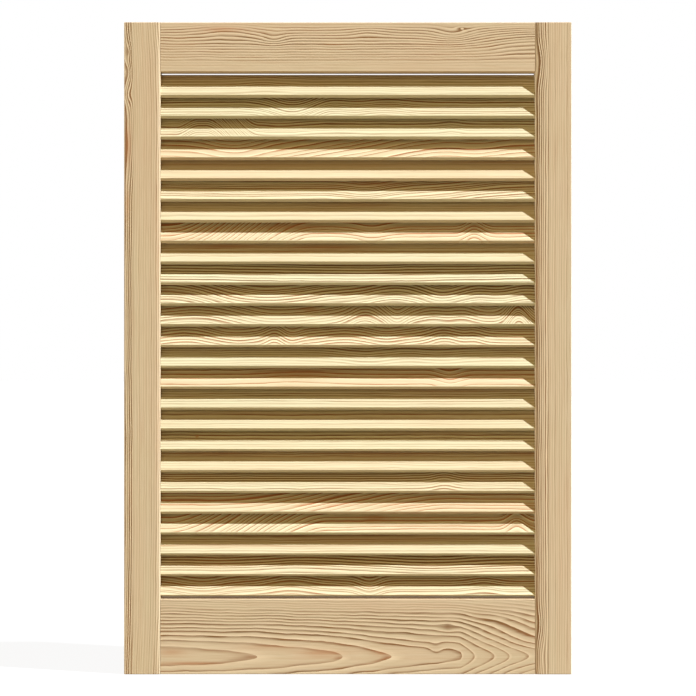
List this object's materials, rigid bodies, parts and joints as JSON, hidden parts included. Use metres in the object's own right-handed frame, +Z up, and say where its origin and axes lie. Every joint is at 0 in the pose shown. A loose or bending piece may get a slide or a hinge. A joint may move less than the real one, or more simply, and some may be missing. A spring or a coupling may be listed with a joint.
{
  "type": "louvred door",
  "caption": "Fixed-louvre pine door leaf for a wardrobe or cupboard: a dowelled frame of stiles and rails with tilted slats housed between them.",
  "frame": {"origin": "middle of the bottom edge, half way through the thickness", "axes": "+Z up along the stiles, +X to the right seen from the front, +Y from the front to the back"},
  "size_m": [0.494, 0.021, 0.72],
  "materials": {
    "frame_pine": "bare planed pine, matt",
    "slat_pine": "bare planed pine, matt",
    "dowel_beech": "fluted beech pin, raw"
  },
  "bodies": {
    "root": {"stile_left": "frame_pine", "stile_right": "frame_pine", "rail_top": "frame_pine", "rail_bottom": "frame_pine", "slat_01": "slat_pine", "slat_02": "slat_pine", "slat_03": "slat_pine", "slat_04": "slat_pine", "slat_05": "slat_pine", "slat_06": "slat_pine", "slat_07": "slat_pine", "slat_08": "slat_pine", "slat_09": "slat_pine", "slat_10": "slat_pine", "slat_11": "slat_pine", "slat_12": "slat_pine", "slat_13": "slat_pine", "slat_14": "slat_pine", "slat_15": "slat_pine", "slat_16": "slat_pine", "slat_17": "slat_pine", "slat_18": "slat_pine", "slat_19": "slat_pine", "slat_20": "slat_pine", "slat_21": "slat_pine", "slat_22": "slat_pine", "slat_23": "slat_pine", "slat_24": "slat_pine", "slat_25": "slat_pine", "dowel_bottom_left_1": "dowel_beech", "dowel_bottom_left_2": "dowel_beech", "dowel_bottom_right_1": "dowel_beech", "dowel_bottom_right_2": "dowel_beech", "dowel_top_left_1": "dowel_beech", "dowel_top_left_2": "dowel_beech", "dowel_top_right_1": "dowel_beech", "dowel_top_right_2": "dowel_beech"}
  },
  "joints": []
}
